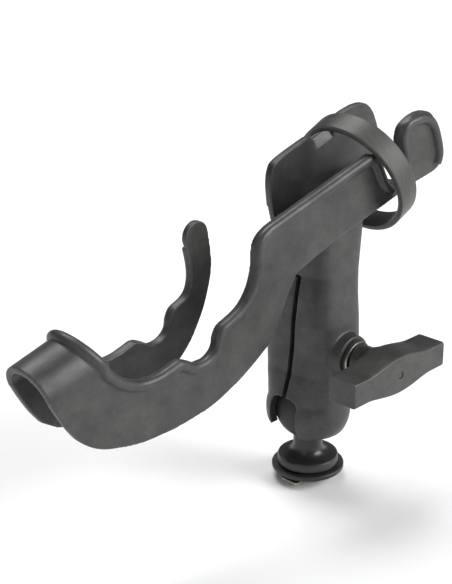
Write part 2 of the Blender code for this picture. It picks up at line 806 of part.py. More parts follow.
def make_base(steel, plastic, rubber):
    inner = INSERT_RADIUS + GASKET_BORE_GAP
    gasket = ring_solid("base_gasket", inner, GASKET_RADIUS, 0.0, GASKET_THICKNESS, about_post, rubber)
    low = GASKET_THICKNESS + FIT_GAP
    flange = ring_solid(
        "base_flange",
        INSERT_RADIUS + FIT_GAP,
        FLANGE_RADIUS,
        low,
        low + FLANGE_THICKNESS,
        about_post,
        plastic,
    )
    insert = ring_solid(
        "base_insert",
        TRACK_BOLT_RADIUS + FIT_GAP,
        INSERT_RADIUS,
        low,
        low + INSERT_HEIGHT,
        about_post,
        steel,
    )
    top = -TRACK_GAP
    bottom = top - TRACK_PLATE_THICKNESS
    half = TRACK_PLATE_LENGTH / 2
    deep = TRACK_PLATE_WIDTH / 2
    corner = TRACK_PLATE_CORNER
    outline = []
    for sx, sy, start in ((1, 1, 0), (-1, 1, 90), (-1, -1, 180), (1, -1, 270)):
        for k in range(4):
            angle = math.radians(start + 30 * k)
            outline.append(
                (
                    sx * (half - corner) + corner * math.cos(angle),
                    sy * (deep - corner) + corner * math.sin(angle),
                )
            )
    plate = prism(
        "t_bolt",
        [about_post(x, y, bottom) for x, y in outline],
        [about_post(x, y, top) for x, y in outline],
        steel,
    )
    stud = [(TRACK_BOLT_RADIUS, bottom + 1.0), (TRACK_BOLT_RADIUS, low + INSERT_HEIGHT - 1.6)]
    unite(plate, solid_turned("track_stud", stud, about_post))
    return gasket, flange, insert, plate


def pivot(name, where):
    """An empty on a joint's axis."""
    made = bpy.data.objects.new(name, None)
    made.location = where
    bpy.context.scene.collection.objects.link(made)
    return made


def hang(parent, pieces):
    """Parents pieces to a pivot and leaves them where they are."""
    for piece in pieces:
        piece.parent = parent
        piece.matrix_parent_inverse = Matrix.Translation(-parent.location)


def clear_scene():
    for old in list(bpy.data.objects):
        bpy.data.objects.remove(old)


def main():
    clear_scene()
    composite = moulded("glass_filled_composite", (0.045, 0.045, 0.046), 0.55)
    ring_plastic = moulded("ring_plastic", (0.06, 0.06, 0.061), 0.5)
    rubber = moulded("rubber", (0.028, 0.028, 0.028), 0.7)
    stainless = moulded("stainless", (0.6, 0.6, 0.58), 0.3, 1.0)
    brass = moulded("brass", (0.72, 0.52, 0.24), 0.35, 1.0)
    nylon = moulded("nylon", (0.02, 0.02, 0.02), 0.45)

    cradle = make_cradle(composite)
    jaw = make_jaw(composite)
    ring = make_ring(ring_plastic)
    bolt = make_bolt(stainless)
    spring = make_spring(stainless)
    wear_start = BOSS_FACE + FIT_GAP
    wear_end = wear_start + WEAR_WASHER_THICKNESS
    bore = CLAMP_BOLT_RADIUS + FIT_GAP
    wear = ring_solid("wear_washer", bore, WASHER_RADIUS, wear_start, wear_end, about_clamp, nylon)
    start = washer_start()
    end = start + WASHER_THICKNESS
    washer = ring_solid("clamp_washer", bore, WASHER_RADIUS, start, end, about_clamp, stainless)
    knob = make_knob(composite)
    insert, plug = make_knob_pieces(brass, nylon)
    make_ball(rubber, composite)
    make_base(stainless, nylon, rubber)

    arm_pivot = pivot("arm_pivot", from_ball(0, 0, 0))
    ring_pivot = pivot("ring_pivot", about_ring(0, 0, 0))
    knob_pivot = pivot("knob_pivot", about_clamp(0, 0, start))
    jaw_slide = pivot("jaw_slide", about_clamp(0, 0, 0))
    hang(arm_pivot, [cradle, spring, wear, washer])
    hang(ring_pivot, [ring])
    hang(knob_pivot, [knob, insert, plug])
    hang(jaw_slide, [jaw, bolt])


main()
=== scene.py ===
"""Visual model of the ball-mounted rod holder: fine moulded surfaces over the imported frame.

Shapes are worked out in millimetres, in the same two frames as the solids: one centred on the ball,
and the cradle's own axes (u along the rod, y across, w square to both and upwards).
"""

import json
import math

import bmesh
import bpy
from mathutils import Matrix, Vector


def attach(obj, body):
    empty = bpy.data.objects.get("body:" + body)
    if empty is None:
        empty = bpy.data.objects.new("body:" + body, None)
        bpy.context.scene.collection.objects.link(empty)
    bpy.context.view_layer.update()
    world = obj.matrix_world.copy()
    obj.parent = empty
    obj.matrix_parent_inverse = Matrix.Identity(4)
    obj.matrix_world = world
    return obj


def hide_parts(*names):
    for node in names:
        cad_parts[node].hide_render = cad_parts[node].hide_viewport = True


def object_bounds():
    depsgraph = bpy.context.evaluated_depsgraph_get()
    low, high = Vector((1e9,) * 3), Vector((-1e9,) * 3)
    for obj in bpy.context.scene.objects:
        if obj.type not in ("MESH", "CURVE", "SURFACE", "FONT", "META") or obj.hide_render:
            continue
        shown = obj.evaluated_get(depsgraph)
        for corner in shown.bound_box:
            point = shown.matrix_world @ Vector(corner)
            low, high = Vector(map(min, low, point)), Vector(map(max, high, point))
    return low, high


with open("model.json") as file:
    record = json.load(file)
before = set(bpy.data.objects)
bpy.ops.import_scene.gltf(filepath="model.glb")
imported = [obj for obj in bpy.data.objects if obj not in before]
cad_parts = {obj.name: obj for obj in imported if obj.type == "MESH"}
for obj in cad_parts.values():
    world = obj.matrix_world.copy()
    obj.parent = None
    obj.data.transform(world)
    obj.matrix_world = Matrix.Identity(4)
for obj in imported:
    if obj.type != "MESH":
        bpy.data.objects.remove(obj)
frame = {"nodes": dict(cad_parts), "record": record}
cad_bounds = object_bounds()
joints = {joint["name"]: joint for joint in frame["record"]["behaviour"]["joints"]}

MM = 0.001
BALL_CENTRE = Vector(joints["arm_tilt"]["pos_m"])
CLAMP_CENTRE = Vector(joints["jaw_open"]["pos_m"])
RING_CENTRE = Vector(joints["ring_turn"]["pos_m"])
RING_AXIS = Vector(joints["ring_turn"]["axis"]).normalized()

# Base and ball
BALL_RADIUS = 19.05
COVER_THICKNESS = 1.5
NECK_RADIUS = 8.5
HUB_RADIUS = 17.7
HUB_THICKNESS = 6.0
HUB_BEVEL = 0.8
# (radius past the hub's or the neck's, height past the hub's top)
HUB_EDGE = [(0.0, -1.6), (-0.5, -0.5), (-1.6, 0.0), (-4.0, 0.1)]
NECK_FLARE = [(3.4, 0.5), (1.4, 1.8), (0.4, 3.6), (0.0, 6.0)]
FLANGE_RADIUS = 21.0
FLANGE_THICKNESS = 2.8
FLANGE_BEVEL = 0.8
GASKET_THICKNESS = 1.2
INSERT_RADIUS = 6.9
INSERT_HEIGHT = 7.5
FIT_GAP = 0.3
CUT_OVERRUN = 1.0  # how far a cutter runs past the face that it cuts

# Socket and clamp
SOCKET_WALL = 5.3
SOCKET_DEPTH = 12.5
JAW_DEPTH = 7.5
SOCKET_RELIEF = 9.5
SOCKET_RELIEF_TOP = 12.0
RELIEF_CORNER = (5.0, 1.5)  # reach of the slot's corner curve along each side, and at its middle
SWING_OVERRUN = 4.0  # how far the slot's cutter runs past the socket
SLOT_WIDTH = 3.0
SLOT_TOP = 82.0
JAW_TOP = 81.0
CLAMP_BOLT_RADIUS = 3.9
CLAMP_HEAD_RADIUS = 7.0
CLAMP_HEAD_SEAT = 18.5
HEXAGON = 6
BOSS_RADIUS = 12.4
BOSS_FACE = 29.6
BOSS_FLARE = 0.8
BOSS_ROOT = 12.0  # inside the arm
BOSS_STEP = 25.0  # where the boss starts to narrow
WASHER_RADIUS = 10.3
WEAR_WASHER_THICKNESS = 1.2
WASHER_THICKNESS = 1.6
STEM_RADIUS = 9.2
STEM_BEVEL = 0.5
# (radius past the stem's, distance past the bar's back)
STEM_FLARE = [(0.0, -5.0), (0.5, -2.0), (1.5, 0.0), (1.5, 2.0)]
BAR_BACK = 43.9
BAR_FRONT = 62.7
BAR_LENGTH = 77.0
BAR_MIDDLE_HEIGHT = 21.5
BAR_END_HEIGHT = 14.4
BAR_SWEEP = 0.8  # the wings' ends lie this far in from the back
BAR_BEVEL = 1.6
BAR_STATIONS = 41
SWELL_REACH = 0.68  # share of each wing over which the bar swells
SWELL_POWER = 1.4
KNOB_VOXEL = 0.5
KNOB_SMOOTHING = 5
PLUG_RADIUS = 1.9
PLUG_GAP = 0.2
PLUG_DEPTH = 2.5
KNOB_INSERT_RADIUS = 5.6
KNOB_INSERT_LENGTH = 15.0
KNOB_INSERT_ROOM = 1.6  # how much deeper than the insert its hole is
SPRING_POCKET = 9.0
BORE_LAP = 5.0  # a half's bore starts this far past the mid plane
JAW_OUTSIDE = 40.0  # beyond the jaw's outer face
SPRING_POCKET_RADIUS = 8.0

# Cradle
PITCH = math.radians(15.0)
CRADLE_REACH = 31.0
CRADLE_RISE = 127.8
WALL = 3.8
TAPER_START = -235.0
MOUTH_HALF_WIDTH = 16.0
MOUTH_END = -232.5
MOUTH_SLANT = 0.06
HOOD_PROUD = 0.15
TIP_END = 57.0
TIP_HALF_WIDTH = 23.0
ARCH_TOP = 23.6
LIP_TOP_U = -204.5
LIP_SIDE_U = -197.5
BEAD_RADIUS = 3.1
BEAD_DROP = 2.6
FAR_BEAD_RADIUS = 2.5
TAB_BEAD_RADIUS = 2.9
TAB_BEAD_OUT = 0.5  # the bead's centre, outside the tab's face
FLOOR_SPRING = -5.0
FLOOR_BOTTOM = -15.5
FLOOR_REAR = -43.0
FLOOR_FRONT = 27.0
FLOOR_INSET = 0.15  # the floor's outer face, inside the walls'
RIM_BEAD_INSET = 0.4  # the rim bead's centre, inside the wall's face
LIP_BEAD_BACK = 1.0  # the same centre on the hood: towards the mouth,
LIP_BEAD_RISE = 0.6  # and outwards
TAB_PROUD = 0.1  # the near tab's outer face, outside the wall's
ARM_LAP = 2.0  # how far the arm's head reaches into the trough's floor

# Latch ring
RING_RADIUS = 35.6
RING_WALL = 3.4
RING_WIDTH = 14.0
RING_BEVEL = 1.0
RING_STEPS = 160
RING_GAP = math.radians(60.0)
RING_GAP_ANGLE = math.radians(-35.0)

FINE = 96  # steps round a turned piece
VOXEL = 0.6  # grid of the moulded shapes


# Frames of reference


def from_ball(x, y, z):
    return BALL_CENTRE + Vector((x, y, z)) * MM


def from_cradle(u, y, w):
    x = CRADLE_REACH + u * math.cos(PITCH) - w * math.sin(PITCH)
    z = CRADLE_RISE + u * math.sin(PITCH) + w * math.cos(PITCH)
    return from_ball(x, y, z)


def about_clamp(a, b, h):
    """The clamp bolt's axis: h runs from the mid plane towards the knob."""
    return CLAMP_CENTRE + Vector((a, -h, b)) * MM


def about_post(a, b, h):
    """The base's axis: h is the height above the seat."""
    return Vector((a, b, h)) * MM


def about_ring(a, b, h):
    """The latch ring's axis: h runs forwards from its rear face, b upwards."""
    up = Vector((-RING_AXIS.z, 0, RING_AXIS.x))
    return RING_CENTRE + (Vector((0, a, 0)) + up * b + RING_AXIS * h) * MM


def half_width(u):
    share = (u - TAPER_START) / (TIP_END - TAPER_START)
    return MOUTH_HALF_WIDTH + share * (TIP_HALF_WIDTH - MOUTH_HALF_WIDTH)


# Mesh helpers


def add_object(name, points, faces):
    mesh = bpy.data.meshes.new(name)
    mesh.from_pydata([tuple(p) for p in points], [], faces)
    shape = bmesh.new()
    shape.from_mesh(mesh)
    bmesh.ops.recalc_face_normals(shape, faces=shape.faces)
    shape.to_mesh(mesh)
    shape.free()
    made = bpy.data.objects.new(name, mesh)
    bpy.context.scene.collection.objects.link(made)
    return made


def apply_modifiers(made):
    """Replaces an object's mesh by what its modifiers make of it."""
    bpy.context.view_layer.update()
    graph = bpy.context.evaluated_depsgraph_get()
    finished = bpy.data.meshes.new_from_object(made.evaluated_get(graph))
    made.modifiers.clear()
    made.data = finished
    return made


def combine(target, others, operation="DIFFERENCE"):
    """Cuts other pieces from the target, or joins or intersects them with it, and removes them."""
    for other in others:
        step = target.modifiers.new(other.name, "BOOLEAN")
        step.operation = operation
        step.solver = "EXACT"
        step.object = other
    apply_modifiers(target)
    for other in others:
        bpy.data.objects.remove(other)
    return target


def gather(name, parts):
    """One object that holds all the parts' meshes, overlapping."""
    shape = bmesh.new()
    for part in parts:
        shape.from_mesh(part.data)
        bpy.data.objects.remove(part)
    mesh = bpy.data.meshes.new(name)
    shape.to_mesh(mesh)
    shape.free()
    made = bpy.data.objects.new(name, mesh)
    bpy.context.scene.collection.objects.link(made)
    return made


def mould(made, voxel=VOXEL, smoothing=4):
    """Fuses overlapping shapes into one skin with small fillets, as a moulding has."""
    remesh = made.modifiers.new("fuse", "REMESH")
    remesh.mode = "VOXEL"
    remesh.voxel_size = voxel * MM
    smooth = made.modifiers.new("soften", "SMOOTH")
    smooth.factor = 0.5
    smooth.iterations = smoothing
    apply_modifiers(made)
    made.data.shade_smooth()
    return made


def smooth_line(knots, steps):
    """A Catmull-Rom curve through the knots, with this many steps between each two."""
    ends = [knots[0], *knots, knots[-1]]
    line = []
    for i in range(1, len(ends) - 2):
        before, start, end, after = (Vector(k) for k in ends[i - 1 : i + 3])
        for k in range(steps):
            t = k / steps
            line.append(
                0.5
                * (
                    2 * start
                    + (end - before) * t
                    + (2 * before - 5 * start + 4 * end - after) * t**2
                    + (3 * start - before - 3 * end + after) * t**3
                )
            )
    return [*line, Vector(knots[-1])]


def prism(name, low, high):
    """Joins two outlines with the same number of points into one closed solid."""
    count = len(low)
    sides = [(i, (i + 1) % count, (i + 1) % count + count, i + count) for i in range(count)]
    ends = [tuple(reversed(range(count))), tuple(range(count, 2 * count))]
    return add_object(name, [*low, *high], sides + ends)


def stack(name, rings, closed=False):
    """Skins a list of rings; closed joins the last ring to the first instead of capping."""
    count = len(rings[0])
    points = [p for ring in rings for p in ring]
    faces = []
    for r in range(len(rings) if closed else len(rings) - 1):
        here = r * count
        there = (r + 1) % len(rings) * count
        for i in range(count):
            j = (i + 1) % count
            faces.append((here + i, here + j, there + j, there + i))
    if not closed:
        faces.append(tuple(reversed(range(count))))
        faces.append(tuple(range((len(rings) - 1) * count, len(rings) * count)))
    return add_object(name, points, faces)


def turned(name, profile, place, steps=FINE):
    """Turns a closed outline of (radius, height) about an axis."""
    rings = []
    for k in range(steps):
        angle = 2 * math.pi * k / steps
        rings.append([place(r * math.cos(angle), r * math.sin(angle), h) for r, h in profile])
    return shade(stack(name, rings, closed=True))


def solid_turned(name, profile, place, steps=FINE):
    """Turns a line of (radius, height) into a solid with a flat at each end."""
    angles = [2 * math.pi * k / steps for k in range(steps)]
    rings = [[place(r * math.cos(a), r * math.sin(a), h) for a in angles] for r, h in profile]
    return shade(stack(name, rings))


def shade(made, angle=35.0):
    made.data.shade_smooth()
    made.data.set_sharp_from_angle(angle=math.radians(angle))
    return made


def tube(name, path, radius, sides=14):
    """Sweeps a round section along world points."""
    rings = []
    previous = None
    for i, here in enumerate(path):
        along = (path[min(i + 1, len(path) - 1)] - path[max(i - 1, 0)]).normalized()
        if previous is None:
            previous = Vector((0, 1, 0)) if abs(along.y) < 0.9 else Vector((0, 0, 1))
        side = (previous - along * previous.dot(along)).normalized()
        rise = along.cross(side)
        previous = side
        angles = [2 * math.pi * k / sides for k in range(sides)]
        rings.append([here + (side * math.cos(a) + rise * math.sin(a)) * radius * MM for a in angles])
    return stack(name, rings)


def ball(name, centre, radius):
    """A small sphere that rounds off the end of a tube."""
    profile = arc(radius, -80, 80, 10)
    return solid_turned(name, profile, lambda a, b, h: centre + Vector((a, b, h)) * MM, 20)


def arc(radius, low, high, steps, height=0.0):
    """(radius, height) points along a ball's side, from one angle of latitude to another."""
    angles = [math.radians(low + (high - low) * k / steps) for k in range(steps + 1)]
    return [(radius * math.cos(a), height + radius * math.sin(a)) for a in angles]


def box(name, low, high, place=from_ball):
    (x0, y0, z0), (x1, y1, z1) = low, high
    bottom = [place(x0, y0, z0), place(x1, y0, z0), place(x1, y1, z0), place(x0, y1, z0)]
    top = [place(x0, y0, z1), place(x1, y0, z1), place(x1, y1, z1), place(x0, y1, z1)]
    return prism(name, bottom, top)


def rounded(outline, radius, steps=4):
    """Replaces each corner of a closed (a, b) outline by an arc-like curve."""
    count = len(outline)
    line = []
    for i in range(count):
        corner = Vector(outline[i])
        before = Vector(outline[i - 1]) - corner
        after = Vector(outline[(i + 1) % count]) - corner
        reach = min(radius, before.length / 2.2, after.length / 2.2)
        start = corner + before.normalized() * reach
        end = corner + after.normalized() * reach
        for k in range(steps + 1):
            t = k / steps
            line.append(start * (1 - t) ** 2 + corner * 2 * t * (1 - t) + end * t**2)
    return line


# Cradle outlines, in (u, w)

MOUTH_EDGE = [(-231.2, 6.5), (-229.8, 0.0), (-227.0, -10.0), (-223.0, -20.0), (-215.5, -29.5)]
BELLY = [(-205.0, -36.8), (-187.0, -45.0), (-165.0, -50.3), (-143.0, -52.5), (-122.0, -49.8), (-99.0, -43.0)]
THROAT = [(-88.0, -34.0), (-79.0, -24.0), (-70.0, -15.2)]
HOOD_LAP = [(-199.0, 9.0), (-229.0, 9.0)]  # the walls' top edge, inside the foot of the hood
LIP_SIDE = [(-196.8, 6.0), (-194.4, 1.5), (-189.5, -5.0), (-181.5, -11.2), (-172.0, -14.4)]
FIRST_BUMP = [(-163.0, -15.0), (-157.0, -15.2), (-152.5, -18.5), (-147.5, -23.2), (-140.5, -24.6)]
SECOND_BUMP = [(-134.5, -22.3), (-131.5, -17.0), (-127.0, -13.3), (-119.0, -12.3), (-111.0, -10.2)]
RISE_TO_TROUGH = [(-103.5, -4.8), (-98.0, 3.0), (-95.2, 11.0), (-91.8, 17.4), (-84.5, 20.4)]
NEAR_TOP = [(-74.0, 20.9), (-40.0, 21.3), (-6.0, 21.6)]
NEAR_CORNER = [(0.5, 20.3), (5.0, 14.5), (6.8, 7.0), (8.6, 1.0), (13.0, -4.6)]
FAR_BEND = [(-114.0, -9.5), (-110.5, -3.0), (-109.2, 5.0), (-109.0, 12.0)]
FINGER_TIP = (-100.8, 16.0)
FINGER_TIP_RADIUS = 8.2
FINGER_TIP_START = 200.0
FINGER_TIP_SWEEP = -215.0
FINGER_BACK = [(-94.0, 3.4), (-97.0, -7.3), (-103.0, -17.5), (-110.0, -26.5)]
FINGER_BACK += [(-121.0, -36.0), (-136.0, -43.5)]
FINGER_BELLY = [(-158.0, -46.5), (-182.0, -43.0), (-203.0, -35.5), (-215.5, -28.5)]
FAR_REAR_EDGE = [(-44.0, -10.0), (-44.0, 2.0), (-42.0, 14.0), (-38.5, 22.0), (-32.0, 25.8)]
FAR_FRONT_EDGE = [(-8.5, 26.4), (-4.8, 25.6), (-3.0, 23.0)]
FAR_NOTCH = [(-1.2, 22.6), (13.2, 22.6)]
CHAMFER_ENDS = (-1.4, 14.2)
CHAMFER_FOOT = 14.4
CHAMFER_HEAD = 25.2
FAR_TAB = [
    (15.0, 22.6),
    (18.0, 25.4),
    (24.0, 27.0),
    (36.5, 26.4),
    (45.5, 23.0),
    (50.8, 16.0),
    (53.2, 5.0),
    (53.2, -6.0),
    (50.0, -12.0),
    (42.0, -14.6),
]
NEAR_TAB = [
    (21.5, -2.0),
    (21.5, 16.0),
    (24.5, 24.0),
    (31.0, 27.0),
    (41.0, 26.8),
    (50.0, 23.0),
    (54.5, 16.0),
    (57.0, 4.0),
    (57.0, -6.0),
    (53.5, -12.0),
    (46.0, -13.6),
    (30.0, -12.0),
    (24.0, -9.0),
]
NEAR_TAB_EDGE = [(25.0, -5.0), (25.0, 16.0), (29.5, 23.4), (39.0, 23.2), (47.0, 20.0)]
NEAR_TAB_EDGE += [(51.5, 14.0), (53.4, 4.0), (53.2, -5.0), (50.0, -9.8)]
FAR_TAB_EDGE = [(18.8, 1.0), (18.8, 16.0), (24.0, 22.8), (35.0, 22.4)]
FAR_TAB_EDGE += [(43.0, 19.4), (47.4, 13.0), (49.6, 3.0)]
TONGUE = [(-40.0, -12.5), (40.0, -12.5), (40.0, -7.0)]
FAR_UNDER = [(30.0, -13.0), (-44.0, -12.5)]
OUTLINE_STEPS = 5


def near_rim():
    return smooth_line(
        LIP_SIDE + FIRST_BUMP + SECOND_BUMP + RISE_TO_TROUGH + NEAR_TOP + NEAR_CORNER, OUTLINE_STEPS
    )


def far_rim():
    return smooth_line(LIP_SIDE + FIRST_BUMP + SECOND_BUMP[:-1] + FAR_BEND, OUTLINE_STEPS)


def wall_plate(name, outline, side, outset=0.0):
    """An upright wall of the cradle; side is -1 near the knob, +1 far from it."""
    outer = [from_cradle(u, side * (half_width(u) + outset), w) for u, w in outline]
    inner = [from_cradle(u, side * (half_width(u) + outset - WALL), w) for u, w in outline]
    return prism(name, outer, inner)


def near_wall():
    under = smooth_line(MOUTH_EDGE + BELLY + THROAT, OUTLINE_STEPS)
    edge = [*under, *TONGUE, *reversed(near_rim()), *HOOD_LAP]
    return wall_plate("near_wall", edge, -1)


def finger():
    start, sweep, steps = math.radians(FINGER_TIP_START), math.radians(FINGER_TIP_SWEEP), 24
    tip = []
    for k in range(steps + 1):
        angle = start + sweep * k / steps
        tip.append(Vector(FINGER_TIP) + FINGER_TIP_RADIUS * Vector((math.cos(angle), math.sin(angle))))
    under = smooth_line(FINGER_BACK + FINGER_BELLY, OUTLINE_STEPS)
    mouth = smooth_line(list(reversed(MOUTH_EDGE[:-1])), OUTLINE_STEPS)
    return wall_plate("finger", [*far_rim(), *tip, *under, *mouth, *reversed(HOOD_LAP)], 1)


def far_wall():
    wall = smooth_line(FAR_REAR_EDGE + FAR_FRONT_EDGE, OUTLINE_STEPS)
    tab = smooth_line(FAR_TAB, OUTLINE_STEPS)
    made = wall_plate("far_wall", [*wall, *FAR_NOTCH, *tab, *FAR_UNDER], 1)
    ends = []
    for u in CHAMFER_ENDS:
        inner = half_width(u) - WALL - CUT_OVERRUN
        outer = half_width(u) + CUT_OVERRUN
        corners = [(inner, CHAMFER_FOOT), (outer, CHAMFER_HEAD), (inner, CHAMFER_HEAD)]
        ends.append([from_cradle(u, y, w) for y, w in corners])
    return combine(made, [prism("far_chamfer", *ends)])


def arch():
    """The hood over the butt end."""
    steps = 48
    rings = []
    for k in range(steps + 1):
        angle = math.pi * k / steps
        height = math.sin(angle)
        spread = -math.cos(angle)
        mouth = MOUTH_END + MOUTH_SLANT * (1 - height) * MOUTH_HALF_WIDTH
        lip = LIP_TOP_U + (LIP_SIDE_U - LIP_TOP_U) * (1 - height)
        ring = []
        for u, depth in ((mouth, 0), (lip, 0), (lip, WALL), (mouth, WALL)):
            radius = half_width(u) + HOOD_PROUD
            centre = ARCH_TOP - radius
            ring.append(from_cradle(u, spread * (radius - depth), centre + height * (radius - depth)))
        rings.append(ring)
    return stack("arch", rings)


def trough_floor():
    """The rounded floor between the trough's walls."""
    steps = 36
    ends = []
    for u in (FLOOR_REAR, FLOOR_FRONT):
        radius = half_width(u) - FLOOR_INSET
        depth = FLOOR_SPRING - FLOOR_BOTTOM
        angles = [math.pi * k / steps for k in range(steps + 1)]
        outer = [(-math.cos(a) * radius, FLOOR_SPRING - depth * math.sin(a)) for a in angles]
        inner = [
            (-math.cos(a) * (radius - WALL), FLOOR_SPRING - (depth - WALL) * math.sin(a))
            for a in reversed(angles)
        ]
        ends.append([from_cradle(u, y, w) for y, w in outer + inner])
    return prism("trough_floor", *ends)


def bead_line(outline, side, drop=BEAD_DROP):
    """World points of a rolled rim, set in from the edge of a wall."""
    outline = [Vector(point) for point in outline]
    path = []
    for i, here in enumerate(outline):
        along = (outline[min(i + 1, len(outline) - 1)] - outline[max(i - 1, 0)]).normalized()
        u = here.x + along.y * drop
        w = here.y - along.x * drop
        path.append(from_cradle(u, side * (half_width(u) - RIM_BEAD_INSET), w))
    return path


def rim_bead():
    """The rolled rim: up the near wall from the ring, over the hood's lip and along the finger."""
    near = list(reversed(bead_line(near_rim(), -1)))
    over = []
    steps = 30
    for k in range(1, steps):
        angle = math.pi * k / steps
        height = math.sin(angle)
        u = LIP_SIDE_U + (LIP_TOP_U - LIP_SIDE_U) * height - LIP_BEAD_BACK
        radius = half_width(u) - RIM_BEAD_INSET
        centre = ARCH_TOP - half_width(u)
        w = centre + height * (radius + LIP_BEAD_RISE)
        over.append(from_cradle(u, -math.cos(angle) * radius, w))
    far = bead_line(far_rim(), 1)
    return tube("rim_bead", near + over + far, BEAD_RADIUS)


def tab_bead(name, edge, side):
    line = smooth_line(edge, OUTLINE_STEPS)
    path = [from_cradle(u, side * (half_width(u) + TAB_BEAD_OUT), w) for u, w in line]
    return tube(name, path, TAB_BEAD_RADIUS)


def far_bead():
    outline = smooth_line(FAR_REAR_EDGE[1:] + FAR_FRONT_EDGE[:2], OUTLINE_STEPS)
    return tube("far_bead", bead_line(outline, 1, FAR_BEAD_RADIUS), FAR_BEAD_RADIUS)


# Arm sections, as (height, rear x, front x, half width, squareness)

ARM_SECTIONS = [
    (8.0, -23.0, 23.0, 23.0, 2.0),
    (16.0, -20.2, 21.2, 23.4, 2.4),
    (26.0, -16.8, 21.6, 24.2, 3.2),
    (40.0, -14.6, 21.8, 24.4, 4.2),
    (56.0, -13.6, 21.8, 23.4, 4.6),
    (70.0, -11.5, 22.6, 21.4, 4.6),
    (83.0, -8.5, 24.4, 19.6, 4.6),
]
ARM_HEAD = (-9.0, 29.5, 18.4, 4.6)
WHOLE_ARM = 60.0  # cutters this long pass right through the arm


def section(rear, front, half, squareness):
    """A squared-off oval across the arm, in (x, y)."""
    middle = (rear + front) / 2
    reach = (front - rear) / 2
    ring = []
    for k in range(FINE):
        angle = 2 * math.pi * k / FINE
        c, s = math.cos(angle), math.sin(angle)
        x = middle + reach * math.copysign(abs(c) ** (2 / squareness), c)
        ring.append((x, half * math.copysign(abs(s) ** (2 / squareness), s)))
    return ring


def arm_solid(name):
    rings = []
    knots = [(height, sizes) for height, *sizes in ARM_SECTIONS]
    for (low, first), (high, second) in zip(knots, knots[1:]):
        for k in range(4):
            t = k / 4
            sizes = [a + (b - a) * t for a, b in zip(first, second)]
            rings.append([from_ball(x, y, low + (high - low) * t) for x, y in section(*sizes)])
    rings.append([from_ball(x, y, knots[-1][0]) for x, y in section(*knots[-1][1])])
    top = []
    for x, y in section(*ARM_HEAD):
        rise = (FLOOR_BOTTOM + ARM_LAP + (x - CRADLE_REACH) * math.sin(PITCH)) / math.cos(PITCH)
        top.append(from_ball(x, y, CRADLE_RISE + rise))
    rings.append(top)
    made = stack(name, rings)
    globe = solid_turned("globe", arc(BALL_RADIUS + SOCKET_WALL, -86, 86, 40), from_ball)
    return combine(made, [globe], "UNION")


def socket_cutters(depth):
    """The open underside of one half of the socket, the neck's swing slot and the ball's hollow."""
    reach = BALL_RADIUS + SOCKET_WALL + CUT_OVERRUN
    underside = box("underside", (-reach, -reach, -reach - CUT_OVERRUN), (reach, reach, -depth))
    corner, bend = RELIEF_CORNER
    swing = [(-SOCKET_RELIEF, -reach), (-SOCKET_RELIEF, SOCKET_RELIEF_TOP - corner)]
    swing += [(-SOCKET_RELIEF + bend, SOCKET_RELIEF_TOP - bend), (-SOCKET_RELIEF + corner, SOCKET_RELIEF_TOP)]
    swing += [(-y, z) for y, z in reversed(swing)]
    end = reach + SWING_OVERRUN
    low = [from_ball(-end, y, z) for y, z in swing]
    high = [from_ball(end, y, z) for y, z in swing]
    hollow = solid_turned("hollow", arc(BALL_RADIUS + FIT_GAP, -88, 88, 40), from_ball)
    return [underside, prism("swing", low, high), hollow]


def clamp_bore(name, radius, start, end, steps=48):
    return solid_turned(name, [(radius, start), (radius, end)], about_clamp, steps)


def fixed_arm():
    arm = arm_solid("fixed_arm")
    reach = WHOLE_ARM
    combine(arm, [box("slot_cut", (-reach, -SLOT_WIDTH / 2, -reach), (reach, reach, SLOT_TOP))])
    root = BOSS_RADIUS + BOSS_FLARE
    boss = [(root, BOSS_ROOT), (root, BOSS_STEP), (BOSS_RADIUS, BOSS_FACE)]
    combine(arm, [solid_turned("boss", boss, about_clamp)], "UNION")
    cutters = socket_cutters(SOCKET_DEPTH)
    cutters.append(clamp_bore("bore", CLAMP_BOLT_RADIUS + FIT_GAP, -BORE_LAP, BOSS_FACE + CUT_OVERRUN))
    cutters.append(clamp_bore("spring_pocket", SPRING_POCKET_RADIUS, 0, SPRING_POCKET))
    return combine(arm, cutters)


def cradle_body():
    parts = [near_wall(), finger(), far_wall(), arch(), trough_floor()]
    parts.append(wall_plate("near_tab", smooth_line(NEAR_TAB, OUTLINE_STEPS), -1, TAB_PROUD))
    parts += [rim_bead(), far_bead()]
    parts.append(tab_bead("near_tab_bead", NEAR_TAB_EDGE, -1))
    parts.append(tab_bead("far_tab_bead", FAR_TAB_EDGE, 1))
    rim = bead_line(near_rim(), -1)
    parts.append(ball("near_rim_end", rim[-1], BEAD_RADIUS))
    parts.append(fixed_arm())
    made = mould(gather("cradle_body", parts))
    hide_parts("cradle")
    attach(made, "arm")
    return made


def jaw_body():
    made = arm_solid("jaw_body")
    reach = WHOLE_ARM
    half = box("jaw_half", (-reach, SLOT_WIDTH / 2, -reach), (reach, reach, JAW_TOP))
    combine(made, [half], "INTERSECT")
    cutters = socket_cutters(JAW_DEPTH)
    cutters.append(clamp_bore("bore", CLAMP_BOLT_RADIUS + FIT_GAP, BORE_LAP, -JAW_OUTSIDE))
    cutters.append(clamp_bore("spring_pocket", SPRING_POCKET_RADIUS, 0, -SPRING_POCKET))
    cutters.append(clamp_bore("head", CLAMP_HEAD_RADIUS + FIT_GAP, -CLAMP_HEAD_SEAT, -JAW_OUTSIDE, HEXAGON))
    combine(made, cutters)
    mould(made)
    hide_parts("clamp_jaw")
    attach(made, "jaw")
    return made


